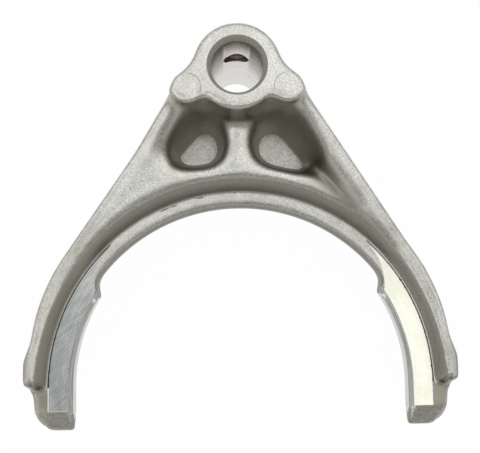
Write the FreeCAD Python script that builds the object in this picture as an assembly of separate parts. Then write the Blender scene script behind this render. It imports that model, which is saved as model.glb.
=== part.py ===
"""Shift fork of a gearbox: one aluminium die casting, machined at its bore and its two pads.

Millimetres. The origin is on the axis of the shift rail bore, level with the hub's rear face.
+Z runs along the bore to the front, +Y points away from the sleeve that the fork embraces.
"""
import FreeCAD, Part
import math
import os

Vector = FreeCAD.Vector

# Hub and rail bore
bore_dia = 14.0
hub_length = 46.0
hub_radius = 11.8
bore_lead_depth = 2.15
bore_lead_width = 1.15

# Lock bolt hole, tapped through the hub's outer wall
lock_hole_dia = 6.8
lock_hole_setback = 17.2
lock_hole_chamfer = 0.7

# Ejector bosses beside the hub
ear_radius = 4.4
ear_x = 13.4
ear_y = -5.75
ejector_mark_radius = 3.65
ejector_mark_depth = 0.15
head_hollow_radius = 2.5
neck_radius = 10.0
column_rise = 7.5
face_inset = 0.1

# Sleeve side: the arms follow the sleeve's axis
fork_reach = 86.2
seat_radius = 48.75
seat_chamfer = 1.3
channel_radius = 56.5
crown_ledge = 4.8
pad_radius = 55.7
pad_start_x = 37.5
pad_end_y = -93.0
pad_lip_x = 28.3
pad_lip_y = -56.6
pad_lip_radius = 14.0
relief_x = 42.0
relief_round = 8.0
relief_end_y = -60.0

# Heights, measured from the hub's rear face
middle_z = 13.0
rail_half_height = 13.0
ledge_thickness = 8.8
pad_thickness = 7.5
rib_z = 31.5

# Outer outline of the arms
arm_arc_y = -78.5
arm_arc_radius = 50.3
ear_blend_radius = 8.0
ear_blend_angle = 16.7
arm_outer_x = 59.8
tip_y = -98.4
tip_radius = 6.0
tip_slope = 29.0
arm_arc_inset = 0.3
tab_width = 1.5
tab_top_y = -76.3
tab_bottom_y = -86.6
tab_corner = 2.4
tab_rise = 4.5
tab_blend = 3.4
rail_end_y = -86.8
outline_growth = 0.4

# Crest of the rails, from the ears down to the arms
crest_start_y = -3.0
left_foot_y = -22.0
right_foot_y = -47.0
right_foot_z = 27.4
crest_flat_y = -58.0
crest_round = 12.0

# Pockets beside the middle rib, each a round-cornered floor: (x, y, corner radius)
left_pocket = [(-15.3, -20.6, 1.6), (-9.3, -18.6, 3.3), (-9.2, -16.3, 3.1)]
right_pocket = [(10.3, -18.3, 3.8), (18.8, -23.3, 0.8), (10.2, -17.4, 3.9)]
groove = [(19.6, -23.0, 0.8), (33.8, -37.6, 0.4)]
groove_z = 26.8

# Drafts, in degrees
wall_draft = 2.0
head_draft = 2.5
pocket_draft = 13.0
channel_draft = 8.0
opening_draft = 3.0
end_draft = 12.0

# Rounds and bevels of the casting
face_bevel = 0.5
rear_bevel = 1.1
crest_edge_round = 1.5
crown_bevel = 1.5

bore_radius = bore_dia / 2
rail_top_z = middle_z + rail_half_height
ledge_half = ledge_thickness / 2
pad_half = pad_thickness / 2
crown_radius = channel_radius - crown_ledge
arm_arc_x = arm_outer_x - arm_arc_inset - arm_arc_radius
tab_x = arm_outer_x + tab_width
head_flare = (hub_length - rail_top_z) * math.tan(math.radians(wall_draft))
far = 200.0
slack = 0.02
tool_height = hub_length + 1.0


def belt(pulleys, z):
    """Closed wire of arcs and common tangents, counter-clockwise round pulleys (x, y, radius).

    A negative radius is a pulley on the outside of the belt, which makes a hollow round.
    """
    count = len(pulleys)
    headings = []
    for i in range(count):
        x0, y0, r0 = pulleys[i]
        x1, y1, r1 = pulleys[(i + 1) % count]
        span = math.hypot(x1 - x0, y1 - y0)
        headings.append(math.atan2(y1 - y0, x1 - x0) - math.asin((r1 - r0) / span))
    edges = []
    for i in range(count):
        x, y, r = pulleys[i]
        x_next, y_next, r_next = pulleys[(i + 1) % count]
        arrive, leave = headings[i - 1], headings[i]
        if r >= 0:
            turn = (leave - arrive) % (2 * math.pi)
        else:
            turn = -((arrive - leave) % (2 * math.pi))

        def on_pulley(heading):
            return Vector(x + r * math.sin(heading), y - r * math.cos(heading), z)

        edges.append(Part.Arc(on_pulley(arrive), on_pulley(arrive + turn / 2), on_pulley(leave)).toShape())
        start = on_pulley(leave)
        end = Vector(x_next + r_next * math.sin(leave), y_next - r_next * math.cos(leave), z)
        edges.append(Part.LineSegment(start, end).toShape())
    return Part.Wire(edges)


def grown(pulleys, amount):
    """The same belt, moved outwards by an amount on every side."""
    return [(x, y, r + amount) for x, y, r in pulleys]


def mirrored(pulleys):
    """The same belt reflected in the fork's middle plane, still counter-clockwise."""
    return [(-x, y, r) for x, y, r in reversed(pulleys)]


def drafted(pulleys, z_from, z_to, degrees):
    """Solid between two heights whose walls lean outwards by a draft angle."""
    widening = abs(z_to - z_from) * math.tan(math.radians(degrees))
    return Part.makeLoft([belt(pulleys, z_from), belt(grown(pulleys, widening), z_to)], True, True)


def fused(solids):
    """One solid from several that overlap."""
    return solids[0].fuse(solids[1:]) if len(solids) > 1 else solids[0]


def touching(first, second, radius):
    """Centre of a round that touches two pulleys from outside, to the right of first to second."""
    x0, y0, r0 = first
    x1, y1, r1 = second
    reach0 = r0 + radius + slack
    reach1 = r1 + radius + slack
    span = math.hypot(x1 - x0, y1 - y0)
    along = (span ** 2 + reach0 ** 2 - reach1 ** 2) / (2 * span)
    aside = math.sqrt(reach0 ** 2 - along ** 2)
    ux, uy = (x1 - x0) / span, (y1 - y0) / span
    return (x0 + along * ux + aside * uy, y0 + along * uy - aside * ux)


def sleeve_range(point):
    """Distance of a point from the sleeve's axis."""
    return math.hypot(point.x, point.y + fork_reach)


def on_crown_edge(point):
    """Whether a point is on an edge of the crown's inner rim, front or rear."""
    return (abs(abs(point.z - middle_z) - ledge_half) < 0.1 and sleeve_range(point) < crown_radius + 2.0
            and point.y > relief_end_y)


def on_flank(point):
    """Whether a point is on the upper outer edge of a rail, between its ear and its arm.

    The flanks run straight from the ears to the arms, so a line beside them tells them apart.
    """
    ear_side = ear_x + ear_radius
    flank_slope = (arm_outer_x - ear_side) / (fork_reach - ear_radius)
    inner_line = ear_x - flank_slope * 1.5 * (point.y - ear_y)
    return (rail_top_z - 0.5 < point.z < hub_length - 1 and crest_flat_y - 2 < point.y < ear_y - ear_radius
            and abs(point.x) > inner_line)


def picked(shape, wanted):
    """Edges of a shape whose middle point is wanted."""
    return [edge for edge in shape.Edges
            if wanted(edge.valueAt((edge.FirstParameter + edge.LastParameter) / 2))]


def eased(shape, radius, wanted):
    """The shape with rounds along the wanted edges."""
    return shape.makeFillet(radius, picked(shape, wanted))


def bevelled(shape, width, wanted):
    """The shape with chamfers along the wanted edges."""
    return shape.makeChamfer(width, picked(shape, wanted))


def beyond(centre, angle, distance):
    """Point at a distance and a compass-like angle, in degrees from +X, from a centre."""
    turn = math.radians(angle)
    return (centre[0] + distance * math.cos(turn), centre[1] + distance * math.sin(turn))


hub = (0.0, 0.0, hub_radius)
ear = (ear_x, ear_y, ear_radius)
arm_arc = (arm_arc_x, arm_arc_y, arm_arc_radius)


def outline():
    """Outer outline of the whole casting, with the space between the arms filled.

    Its walls lean inwards towards the front, so the head starts wider than it is at its face.
    """
    hub_foot, ear_foot = grown([hub, ear], head_flare)
    ear_blend = beyond(ear, ear_blend_angle, ear_foot[2] + ear_blend_radius + slack)
    tab_top = (tab_x - tab_corner, tab_top_y - tab_corner, tab_corner)
    above_tab_y = tab_top_y + tab_rise
    above_tab_x = arm_arc_x + math.sqrt((arm_arc_radius + tab_blend + slack) ** 2
                                        - (above_tab_y - arm_arc_y) ** 2)
    side = [
        (arm_outer_x - tip_radius, tip_y + tip_radius, tip_radius),
        (arm_outer_x + tab_blend, tab_bottom_y - tab_blend, -tab_blend),
        (tab_x - tab_corner, tab_bottom_y + tab_corner, tab_corner),
        tab_top,
        (above_tab_x, above_tab_y, -tab_blend),
        arm_arc,
        ear_blend + (-ear_blend_radius,),
        ear_foot,
        touching(ear_foot, hub_foot, neck_radius) + (-neck_radius,),
    ]
    return side + [hub_foot] + mirrored(side)


def head_column():
    """Full-height column under the hub's face; towards the outside it reaches past the outline."""
    edge = (0.0, 0.0, hub_radius - face_inset)
    ear_edge = (ear_x, ear_y, ear_radius - 2 * face_inset)
    hollow = touching(edge, ear_edge, head_hollow_radius) + (-head_hollow_radius,)
    outside_x = ear_x + 3 * ear_radius
    side = [hollow, ear_edge, (outside_x, ear_y + column_rise, face_inset),
            (outside_x, 3 * hub_radius, face_inset)]
    pulleys = [edge] + side + mirrored(side)
    return drafted(pulleys, hub_length, 0.0, head_draft)


def sleeve_slot(radius):
    """Belt round the sleeve: a half circle about its axis, with straight legs past the tips."""
    end_y = tip_y - seat_radius
    return [(0.0, -fork_reach, radius), (-radius + 1, end_y, 1.0), (radius - 1, end_y, 1.0)]


def crest_line(foot_y, foot_z, start_z):
    """Side view of a crest, front to back: level arms, a gentle rise, then the slope to the ears."""
    return [(-far, rail_top_z), (crest_flat_y, rail_top_z), (foot_y, foot_z),
            (crest_start_y, start_z), (far, start_z)]


def rounded(points, radius):
    """Edges of an open line through (y, z) points, drawn in the side view, its bends made arcs."""
    spots = [Vector(-far, y, z) for y, z in points]
    edges = []
    start = spots[0]
    for before, bend, after in zip(spots, spots[1:], spots[2:]):
        inwards = (before - bend).normalize()
        onwards = (after - bend).normalize()
        half = inwards.getAngle(onwards) / 2
        if half > math.radians(89.9):
            continue
        back = radius / math.tan(half)
        middle = (inwards + onwards).normalize()
        first = bend + inwards * back
        last = bend + onwards * back
        crown = bend + middle * (radius / math.sin(half) - radius)
        edges += [Part.LineSegment(start, first).toShape(), Part.Arc(first, crown, last).toShape()]
        start = last
    edges.append(Part.LineSegment(start, spots[-1]).toShape())
    return edges


def above(line):
    """Everything over a crest line, across the whole fork, as a face drawn in the side view."""
    first, last = line[0][0], line[-1][0]
    lid = Part.makePolygon([Vector(-far, last, line[-1][1]), Vector(-far, last, far),
                            Vector(-far, first, far), Vector(-far, first, line[0][1])])
    face = Part.Face(Part.Wire(rounded(line, crest_round) + lid.Edges))
    return face.extrude(Vector(2 * far, 0, 0))


def prism(points, z0, z1):
    """Upright prism over a polygon."""
    corners = [Vector(x, y, z0) for x, y in points]
    return Part.Face(Part.makePolygon(corners + corners[:1])).extrude(Vector(0, 0, z1 - z0))


def crest_relief():
    """What lies over the rails and the rib: three zones, each under its own crest line."""
    split_left = left_pocket[1][0] - 0.7
    pocket_x = right_pocket[0][0]
    split_y = right_pocket[0][1] + right_pocket[0][2]
    groove_start, groove_end = [(x, y) for x, y, r in groove]
    left = prism([(split_left, far), (-far, far), (-far, -far), (split_left, -far)], 0.0, far)
    middle = prism([(split_left, far), (split_left, -far), (groove_end[0], -far), groove_end,
                    groove_start, (pocket_x, split_y), (pocket_x, far)], 0.0, far)
    right = prism([(pocket_x, far), (pocket_x, split_y), groove_start, groove_end,
                   (groove_end[0], -far), (far, -far), (far, far)], 0.0, far)
    left_crest = crest_line(left_foot_y, rib_z, hub_length)
    middle_crest = crest_line(left_foot_y, rib_z, rib_z)
    right_crest = crest_line(right_foot_y, right_foot_z, hub_length)
    return fused([above(left_crest).common(left), above(middle_crest).common(middle),
                  above(right_crest).common(right)])


def pockets(side):
    """Two pockets beside the middle rib; in front a groove leads on from the right one."""
    floor_z = middle_z + side * ledge_half
    mouth_z = middle_z + side * tool_height
    left = drafted(left_pocket, floor_z, mouth_z, pocket_draft)
    right = drafted(right_pocket, floor_z, mouth_z, pocket_draft)
    if side > 0:
        right = right.fuse(drafted(groove, groove_z, mouth_z, pocket_draft))
    return left.fuse(right)


def channel(side):
    """Recess along the arms and the crown, on the front (side 1) or the rear (side -1)."""
    return drafted(sleeve_slot(channel_radius), middle_z + side * ledge_half,
                   middle_z + side * tool_height, channel_draft)


def tip_relief(side):
    """Lower level of the tips, past the ends of the rails, and the slope at their very ends."""
    ledge_z = side * ledge_half
    slope_run = 2 * (pad_end_y - tip_y)
    fall = slope_run * math.tan(math.radians(tip_slope))
    lean = (tool_height - ledge_half) * math.tan(math.radians(end_draft))
    profile = [(rail_end_y, ledge_z), (pad_end_y, ledge_z), (pad_end_y - slope_run, ledge_z - side * fall),
               (pad_end_y - slope_run, side * tool_height), (rail_end_y + lean, side * tool_height)]
    points = [Vector(-far, y, middle_z + z) for y, z in profile]
    face = Part.Face(Part.makePolygon(points + points[:1]))
    return face.extrude(Vector(2 * far, 0, 0))


def opening():
    """The cast opening between the arms, widening both ways from the parting plane."""
    corner_y = -fork_reach + math.sqrt((crown_radius - relief_round + slack) ** 2
                                       - (relief_x - relief_round) ** 2)
    corner = (relief_x - relief_round, corner_y, relief_round)
    foot = (relief_x - 1, tip_y - seat_radius, 1.0)
    pulleys = [foot, corner, (0.0, -fork_reach, crown_radius), (-corner[0], corner_y, relief_round),
               (-foot[0], foot[1], 1.0)]
    return fused([drafted(pulleys, middle_z, middle_z + side * ledge_thickness, opening_draft)
                  for side in (1, -1)])


def seat():
    """Machined seat: the sleeve's clearance bore and its two chamfers."""
    through = drafted(sleeve_slot(seat_radius), middle_z - ledge_thickness, middle_z + ledge_thickness, 0.0)
    cuts = [through]
    for side in (1, -1):
        start = middle_z + side * (pad_half - seat_chamfer)
        cuts.append(drafted(sleeve_slot(seat_radius), start, start + side * pad_thickness, 45.0))
    return fused(cuts)


def pad_cut(side, wing):
    """Milled pad face on one arm, cut just below the cast ledge; it starts beside a curved lip."""
    z = middle_z + side * pad_half
    swept = drafted(sleeve_slot(pad_radius), z, z + side * pad_half, 0.0)
    limits = prism([(wing * pad_start_x, 0), (wing * far, 0), (wing * far, pad_end_y),
                    (wing * pad_start_x, pad_end_y)], z - pad_thickness, z + pad_thickness)
    lip = Part.makeCylinder(pad_lip_radius, 2 * pad_thickness,
                            Vector(wing * pad_lip_x, pad_lip_y, z - pad_thickness))
    return swept.common(limits).cut(lip)


def hub_cuts():
    """Rail bore with its lead-in, and the lock bolt hole in the outer wall."""
    profile = [
        (0, -1), (bore_radius, -1), (bore_radius, hub_length - bore_lead_depth), (bore_radius + bore_lead_width, hub_length),
        (bore_radius + bore_lead_width, hub_length + 1), (0, hub_length + 1),
    ]
    points = [Vector(r, 0, z) for r, z in profile]
    bore = Part.Face(Part.makePolygon(points + points[:1])).revolve(Vector(0, 0, 0), Vector(0, 0, 1), 360)
    z = hub_length - lock_hole_setback
    wall_y = (hub_radius + head_flare + outline_growth
              - (z - middle_z) * math.tan(math.radians(wall_draft)))
    lock = Part.makeCylinder(lock_hole_dia / 2, 2 * hub_radius, Vector(0, 0, z), Vector(0, 1, 0))
    lead = Part.makeCone(lock_hole_dia / 2, lock_hole_dia / 2 + 2 * lock_hole_chamfer, 2 * lock_hole_chamfer,
                         Vector(0, wall_y - lock_hole_chamfer, z), Vector(0, 1, 0))
    return fused([bore, lock, lead])


def blank():
    """Outer body with the crest of the rails and the head standing up from it."""
    body = fused([drafted(grown(outline(), outline_growth), middle_z, 0.0, -wall_draft),
                  drafted(grown(outline(), outline_growth), middle_z, hub_length, -wall_draft)])
    body = bevelled(body, rear_bevel, lambda p: p.z < 0.1)
    body = body.cut(crest_relief().cut(head_column()))
    body = eased(body, crest_edge_round, on_flank)
    return bevelled(body, face_bevel, lambda p: p.z > hub_length - 0.1)


def casting():
    """The fork as it leaves the die."""
    shape = blank()
    for side in (1, -1):
        shape = shape.cut(channel(side))
        shape = shape.cut(tip_relief(side))
    shape = shape.cut(opening())
    shape = bevelled(shape, crown_bevel, on_crown_edge)
    shape = shape.cut(pockets(1).cut(head_column()))
    shape = shape.cut(pockets(-1))
    for x in (-ear_x, ear_x):
        mark = Part.makeCylinder(ejector_mark_radius, 1.0, Vector(x, ear_y, hub_length - ejector_mark_depth))
        shape = shape.cut(mark)
    return shape


def fork():
    """The finished part: the casting with its machined seat, pads and holes."""
    shape = casting()
    for side in (1, -1):
        for wing in (1, -1):
            shape = shape.cut(pad_cut(side, wing))
    shape = shape.cut(seat())
    return shape.cut(hub_cuts())


def main():
    os.makedirs("parts", exist_ok=True)
    shape = fork()
    print("solids", len(shape.Solids), "valid", shape.isValid(), "volume", round(shape.Volume),
          "faces", len(shape.Faces))
    shape.exportStep("parts/fork.step")


main()
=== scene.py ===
# %% [markdown]
# # A shift fork: cast soft, then cut crisp
#
# A shift fork slides a gear sleeve along its shaft. It is one aluminium die casting. The die gives it
# round edges and a grainy skin. Then a few tools touch it: a reamer opens the bore for the shift rail,
# a cutter sweeps the seat round the sleeve, and a mill faces the pads that run in the sleeve's groove.
#
# The lesson follows the same order as the factory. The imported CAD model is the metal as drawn, with
# hard edges. It is copied, filled where a tool will cut, melted into a soft skin, and cut again with
# sharp tools, so that the rounds belong to the casting and the crisp edges to the machining.

# %% Load the frame
import math

import bmesh
import bpy
import numpy as np
from mathutils import Matrix, Vector


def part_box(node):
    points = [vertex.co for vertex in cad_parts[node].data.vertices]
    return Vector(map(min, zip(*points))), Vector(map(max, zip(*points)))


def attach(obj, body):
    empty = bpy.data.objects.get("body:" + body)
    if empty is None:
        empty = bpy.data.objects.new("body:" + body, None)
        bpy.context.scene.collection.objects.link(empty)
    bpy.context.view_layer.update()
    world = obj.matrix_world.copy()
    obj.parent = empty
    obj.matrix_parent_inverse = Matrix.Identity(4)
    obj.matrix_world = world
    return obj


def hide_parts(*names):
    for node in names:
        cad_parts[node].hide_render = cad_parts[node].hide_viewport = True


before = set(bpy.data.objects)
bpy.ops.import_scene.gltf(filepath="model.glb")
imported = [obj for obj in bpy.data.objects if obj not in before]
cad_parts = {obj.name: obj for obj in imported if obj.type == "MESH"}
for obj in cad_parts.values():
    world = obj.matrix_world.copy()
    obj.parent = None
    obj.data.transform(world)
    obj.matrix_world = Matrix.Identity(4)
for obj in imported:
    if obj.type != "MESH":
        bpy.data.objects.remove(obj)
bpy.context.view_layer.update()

MM = 0.001
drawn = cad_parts["fork"]
low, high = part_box("fork")
print("the fork as drawn, in mm:", [round((high[i] - low[i]) / MM, 1) for i in range(3)])

# %% [markdown]
# ## The sizes that the tools need
#
# The frame has its origin on the bore's axis, level with the hub's rear face. Z runs to the front and
# the sleeve's axis is parallel to it, one reach below. These are the sizes of the cuts, in millimetres:
# each tool below is made from them, so a cut lands where the drawing has its machined face.

# %% Sizes of the machined faces
HUB_TOP = 46.0
BORE_RADIUS = 7.0
LEAD_RADIUS = 8.15
LEAD_DEPTH = 2.15
REACH = 86.2
MIDDLE = 13.0
SEAT_RADIUS = 48.75
SEAT_BEVEL = 1.3
PAD_RADIUS = 55.7
PAD_HALF = 3.75
PAD_START = 37.5
PAD_END = -93.0
PAD_LIP = (26.0, -57.5)
PAD_LIP_RADIUS = 16.5
STOCK_LIP = (28.3, -56.6)
STOCK_LIP_RADIUS = 13.4
LEDGE_HALF = 4.4
RELIEF_X = 42.0
TIP = -98.4
EAR = (13.4, -5.75)
EAR_MARK_RADIUS = 3.65
BOLT_HEIGHT = 28.8
BOLT_CORE_RADIUS = 3.4
THREAD_DEPTH = 0.55
THREAD_PITCH = 1.25
LEFT_FLOOR = [(-15.3, -20.6, 1.6), (-9.3, -18.6, 3.3), (-9.2, -16.3, 3.1)]
RIGHT_FLOOR = [(10.3, -18.3, 3.8), (18.8, -23.3, 0.8), (10.2, -17.4, 3.9)]
print("the tools cut the bore, the seat, four pads, a tapped hole and two pocket floors")

# %% [markdown]
# ## From arrays to meshes
#
# Every tool is a surface of two parameters. Its points come out of numpy as one array of rows and
# columns, and the faces between them are index arithmetic, so no loop walks over vertices. A grid that
# is closed round its columns and capped at both ends is a closed solid, which is what a cut needs.

# %% Closed solids from grids
def mesh_from_grid(name, points, material, closed_rows=False):
    """A closed solid from points[row, column, 3], in mm: columns run round, rows run along.

    Each quad joins a point to its neighbours in the next column and row. The first and the last row
    are closed by one flat face each, unless the rows close on themselves as on a ring.
    """
    rows, columns = points.shape[:2]
    index = np.arange(rows * columns).reshape(rows, columns)
    here = index if closed_rows else index[:-1]
    after = np.roll(index, -1, 0) if closed_rows else index[1:]
    quads = np.stack([here, np.roll(here, -1, 1), np.roll(after, -1, 1), after], -1).reshape(-1, 4)
    faces = quads.tolist()
    if not closed_rows:
        faces += [index[0][::-1].tolist(), index[-1].tolist()]
    mesh = bpy.data.meshes.new(name)
    mesh.from_pydata((points.reshape(-1, 3) * MM).tolist(), [], faces)
    mesh.materials.append(material)
    return tidy_solid(mesh)


def tidy_solid(mesh):
    """Merges doubled points, drops faces without area and turns every face outwards."""
    work = bmesh.new()
    work.from_mesh(mesh)
    bmesh.ops.remove_doubles(work, verts=work.verts, dist=1e-7)
    bmesh.ops.dissolve_degenerate(work, edges=work.edges, dist=1e-7)
    bmesh.ops.recalc_face_normals(work, faces=work.faces)
    work.to_mesh(mesh)
    work.free()
    return mesh


print("helper: grids become closed solids")

# %% Solids turned and carried
def turned(name, profile, material):
    """A solid of revolution: each (radius, height) of the profile goes round the Z axis.

    x = r cos a, y = r sin a, z = h, with a running once round the circle.
    """
    radius, height = np.array(profile, float).T
    angle = np.linspace(0, 2 * np.pi, 160, endpoint=False)
    x = radius[:, None] * np.cos(angle)
    y = radius[:, None] * np.sin(angle)
    return mesh_from_grid(name, np.stack([x, y, np.repeat(height[:, None], len(angle), 1)], -1), material)


def rod(name, radius, start, end, material):
    """A plain cylinder round the Z axis."""
    return turned(name, [(0, start), (radius, start), (radius, end), (0, end)], material)


def sleeve_path(start, end_y, side):
    """Points and outward normals round the sleeve on one arm, or on both for side 0.

    A half circle about the sleeve's axis runs from the angle start, measured from the top, down to the
    level of the axis. A straight leg then goes on down to end_y. Side is 1 for +X and -1 for -X.
    """
    turn = np.linspace(start, np.pi / 2, 90)
    normal = np.stack([np.sin(turn), np.cos(turn)], -1)
    leg = np.linspace(0, 1, 12)[1:, None] * np.array([[0.0, end_y + REACH]])
    offset = np.concatenate([np.zeros((len(turn), 2)), leg])
    normal = np.concatenate([normal, np.tile([1.0, 0.0], (len(leg), 1))])
    if side:
        return offset * [side, 1], normal * [side, 1]
    mirrored = [-1.0, 1.0]
    return (np.concatenate([(offset * mirrored)[::-1], offset[1:]]),
            np.concatenate([(normal * mirrored)[::-1], normal[1:]]))


def carried(name, section, path, material):
    """A closed section of (distance from the sleeve's axis, height) carried along a sleeve path."""
    offset, normal = path
    distance, height = np.array(section, float).T
    xy = offset[:, None] + normal[:, None] * distance[None, :, None] - np.array([0.0, REACH])
    z = np.broadcast_to(height, xy.shape[:2])
    return mesh_from_grid(name, np.concatenate([xy, z[..., None]], -1), material)


print("helpers: solids turned round the Z axis, and sections carried round the sleeve")

# %% Outlines and objects
def furthest_outline(circles, growth):
    """Outline round several circles (x, y, radius), as a string pulled tight round them.

    In each direction u the circle whose centre reaches furthest, counting its radius, gives the point
    centre + radius * u. Where the lead passes to the next circle, the string runs straight.
    """
    angle = np.linspace(0, 2 * np.pi, 144, endpoint=False)
    direction = np.stack([np.cos(angle), np.sin(angle)], -1)
    circles = np.array(circles, float)
    reach = direction @ circles[:, :2].T + circles[:, 2]
    lead = circles[np.argmax(reach, 1)]
    return lead[:, :2] + direction * (lead[:, 2:] + growth)


def stacked(name, outlines, heights, material):
    """A solid whose rows are outlines at given heights."""
    rows = [np.column_stack([outline, np.full(len(outline), z)]) for outline, z in zip(outlines, heights)]
    return mesh_from_grid(name, np.array(rows), material)


def as_object(name, data):
    """An object at the origin that shows a mesh, or is a camera."""
    thing = bpy.data.objects.new(name, data)
    bpy.context.scene.collection.objects.link(thing)
    return thing


print("helpers: outlines round circles, stacked into solids")

# %% [markdown]
# ## Shared surface effects
#
# Two effects come back in several finishes. Grain is the fine pebbling that the die's spray and the
# shot leave on a skin: noise at three sizes, mixed to one value. Stain is the faint olive and brown
# film of oil and die release, in soft patches. Both are node groups that put out plain values only,
# so each finish decides what they do to its colour, its roughness and its bumps.

# %% Node helpers
def node(tree, kind, values=None, **settings):
    """A new node with its settings and its input values set by name or position."""
    made = tree.nodes.new(kind)
    for key, value in settings.items():
        setattr(made, key, value)
    for key, value in (values or {}).items():
        made.inputs[key].default_value = value
    return made


def link(tree, out_socket, in_socket):
    """Joins two sockets."""
    tree.links.new(out_socket, in_socket)


def feed(tree, socket, value):
    """Gives an input what it needs, which may be a number, a colour or another node's output."""
    if isinstance(value, (int, float)):
        socket.default_value = value
    elif isinstance(value, tuple):
        socket.default_value = value + (1.0,)
    else:
        link(tree, value, socket)


def times(tree, first, second, operation="MULTIPLY"):
    """The product of two values, or another operation of theirs."""
    both = node(tree, "ShaderNodeMath", operation=operation)
    feed(tree, both.inputs[0], first)
    feed(tree, both.inputs[1], second)
    return both.outputs[0]


def plus(tree, first, second):
    """The sum of two values."""
    return times(tree, first, second, "ADD")


def larger(tree, first, second):
    """The larger of two values."""
    return times(tree, first, second, "MAXIMUM")


def without_sign(tree, value):
    """A value without its sign."""
    return times(tree, value, 0.0, "ABSOLUTE")


def vector_maths(tree, operation, first, second=None):
    """Maths on vectors; a length, a distance and a dot product are values."""
    both = node(tree, "ShaderNodeVectorMath", operation=operation)
    link(tree, first, both.inputs[0])
    if isinstance(second, tuple):
        both.inputs[1].default_value = second
    elif second is not None:
        link(tree, second, both.inputs[1])
    return both.outputs["Value" if operation in ("LENGTH", "DISTANCE", "DOT_PRODUCT") else "Vector"]


def xyz(tree, vector):
    """The three parts of a vector."""
    parts = tree.nodes.new("ShaderNodeSeparateXYZ")
    link(tree, vector, parts.inputs[0])
    return tuple(parts.outputs)


print("node helpers: maths and vectors")

# %% Smooth steps and colours
def ramp(tree, value, from_min, from_max, to_min=0.0, to_max=1.0):
    """A smooth step of a value between two limits."""
    step = node(tree, "ShaderNodeMapRange", {"From Min": from_min, "From Max": from_max,
                                             "To Min": to_min, "To Max": to_max},
                interpolation_type="SMOOTHSTEP")
    link(tree, value, step.inputs["Value"])
    return step.outputs["Result"]


def ramp_mm(tree, value, start, end):
    """A smooth step from 0 to 1 between two places in millimetres."""
    return ramp(tree, value, start * MM, end * MM)


def mix_colour(tree, factor, first, second):
    """Colour between first and second; each may be a colour or a socket."""
    mix = node(tree, "ShaderNodeMix", data_type="RGBA")
    link(tree, factor, mix.inputs["Factor"])
    feed(tree, mix.inputs[6], first)
    feed(tree, mix.inputs[7], second)
    return mix.outputs[2]


print("node helpers: smooth steps and colours")

# %% The two shared effects
GRAIN_SIZES_AND_WEIGHTS = [(1.3, 0.12), (0.5, 0.38), (0.26, 0.5)]
SPECK_SIZE = 0.5
STAIN_SIZES = [14.0, 5.0]


def new_group(name, inputs, outputs):
    """An empty node group with inputs (name, kind, default) and float outputs, and its two end nodes."""
    group = bpy.data.node_groups.new(name, "ShaderNodeTree")
    for label, kind, default in inputs:
        socket = group.interface.new_socket(name=label, in_out="INPUT", socket_type=kind)
        if default is not None:
            socket.default_value = default
    for label in outputs:
        group.interface.new_socket(name=label, in_out="OUTPUT", socket_type="NodeSocketFloat")
    return group, group.nodes.new("NodeGroupInput"), group.nodes.new("NodeGroupOutput")


def scaled(tree, into, texture, size_mm):
    """A texture of a given size on the group's vector, made finer by the group's scale."""
    link(tree, into.outputs["Vector"], texture.inputs["Vector"])
    link(tree, times(tree, into.outputs["Scale"], 1 / (size_mm * MM)), texture.inputs["Scale"])
    return texture


def grain_group():
    """Cast grain: coarse, middle and fine noise on object coordinates, added to one value about 0.5."""
    group, into, out = new_group("cast grain", [("Vector", "NodeSocketVector", None),
                                                ("Scale", "NodeSocketFloat", 1.0)], ["Grain", "Speck"])
    total = 0.0
    for size_mm, weight in GRAIN_SIZES_AND_WEIGHTS:
        noise = node(group, "ShaderNodeTexNoise", {"Detail": 2.0, "Roughness": 0.6})
        layer = scaled(group, into, noise, size_mm).outputs["Fac"]
        total = plus(group, total, times(group, layer, weight))
    link(group, total, out.inputs["Grain"])
    cells = scaled(group, into, node(group, "ShaderNodeTexVoronoi", feature="F1"), SPECK_SIZE)
    link(group, cells.outputs["Distance"], out.inputs["Speck"])
    return group


def stain_group():
    """Soft patches of film: two slow noises multiplied, sharpened by a smooth step."""
    group, into, out = new_group("oil stain", [("Vector", "NodeSocketVector", None)], ["Stain"])
    values = []
    for size_mm in STAIN_SIZES:
        noise = node(group, "ShaderNodeTexNoise", {"Scale": 1 / (size_mm * MM), "Detail": 3.0})
        link(group, into.outputs["Vector"], noise.inputs["Vector"])
        values.append(noise.outputs["Fac"])
    link(group, ramp(group, times(group, *values), 0.18, 0.38), out.inputs["Stain"])
    return group


GRAIN = grain_group()
STAIN = stain_group()
print("groups:", GRAIN.name, "and", STAIN.name)

# %% [markdown]
# ## The cast skin
#
# On the real fork the faces that look out of the die are bright and grainy. The steep walls are painted
# darker and olive: painted shade, for the light that a wall gets less of than a face that looks up. The
# finish reads the slope of the surface in the object's own coordinates, so the painted shade stays on the
# part however the part lies. Bare aluminium is a metal, so its colour is the tint of its reflections.

# %% What every metal starts from
def bare_metal(name, roughness=0.5, metallic=1.0):
    """A new metal: its material, node tree, shader and texture coordinates."""
    material = bpy.data.materials.new(name)
    material.use_nodes = True
    tree = material.node_tree
    shader = tree.nodes["Principled BSDF"]
    shader.inputs["Roughness"].default_value = roughness
    shader.inputs["Metallic"].default_value = metallic
    return material, tree, shader, tree.nodes.new("ShaderNodeTexCoord")


def effect(tree, group, place):
    """One of the shared effects in a material, on the object's own coordinates."""
    made = node(tree, "ShaderNodeGroup", node_tree=group)
    link(tree, place.outputs["Object"], made.inputs["Vector"])
    return made


def bump(tree, shader, height, strength, distance_mm, before=None):
    """A bump from a height value onto the shader's normal, on top of an earlier one."""
    made = node(tree, "ShaderNodeBump", {"Strength": strength, "Distance": distance_mm * MM})
    link(tree, height, made.inputs["Height"])
    if before is not None:
        link(tree, before, made.inputs["Normal"])
    link(tree, made.outputs["Normal"], shader.inputs["Normal"])
    return made.outputs["Normal"]


print("metals start from a shader, two effects and a bump")
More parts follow.
